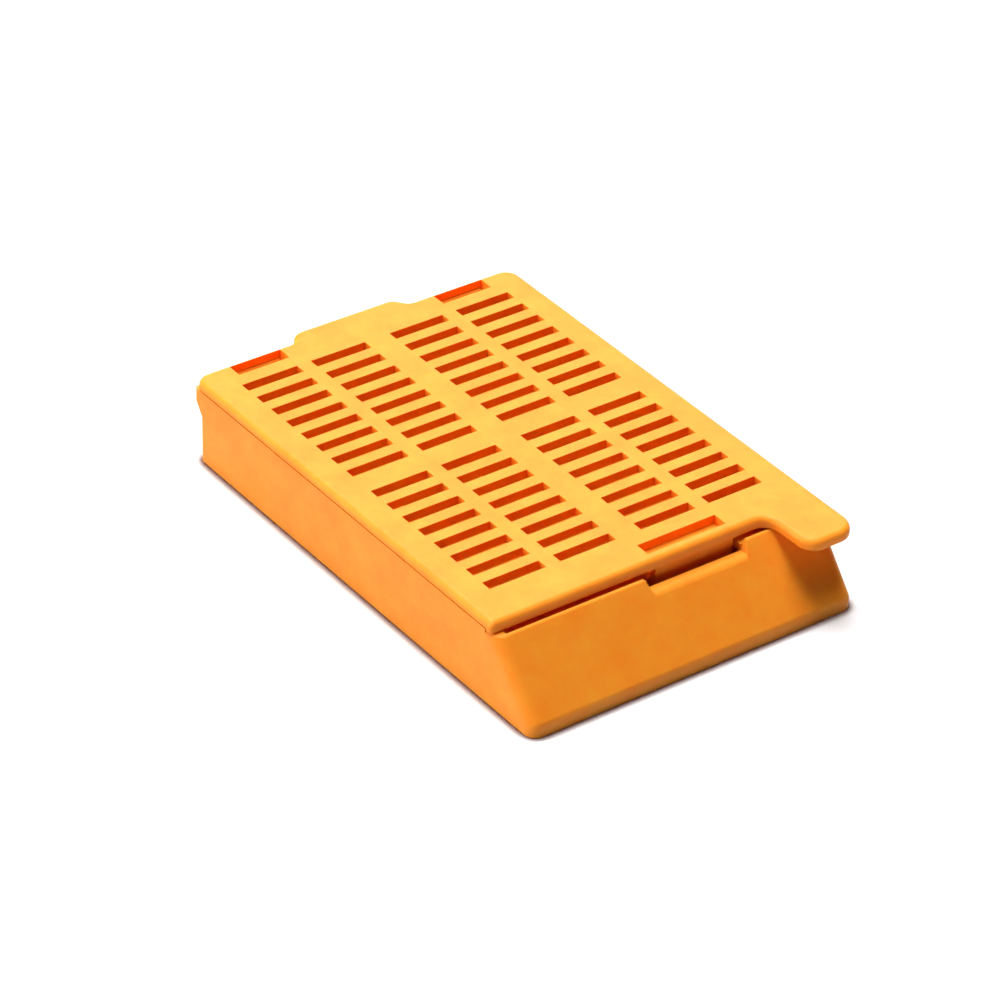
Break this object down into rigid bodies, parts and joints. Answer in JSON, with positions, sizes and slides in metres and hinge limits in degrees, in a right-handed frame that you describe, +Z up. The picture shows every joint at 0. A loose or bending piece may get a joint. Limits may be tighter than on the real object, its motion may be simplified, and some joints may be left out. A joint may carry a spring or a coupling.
{
  "type": "tissue cassette",
  "caption": "Shallow slotted box for tissue samples, with a sloped writing panel in front and a hinged slotted lid that opens by a corner tab.",
  "frame": {"origin": "middle of the footprint, on the bench, halfway between the foot of the writing panel and the lid's rear edge", "axes": "+X across the cassette towards the side with the thumb tab, +Y along its length to the hinge, +Z up out of the tray"},
  "size_m": [0.0286, 0.0421, 0.0067],
  "materials": {
    "base_acetal": "moulded acetal, satin",
    "lid_acetal": "moulded acetal, satin"
  },
  "bodies": {
    "tray": {"base": "base_acetal"},
    "cover": {"lid": "lid_acetal"}
  },
  "joints": [
    {"name": "lid_hinge", "type": "hinge", "parent": "tray", "child": "cover", "pos_m": [0, 0.0202, 0.0057], "axis": [-1, 0, 0], "range_deg": [0, 90]}
  ]
}
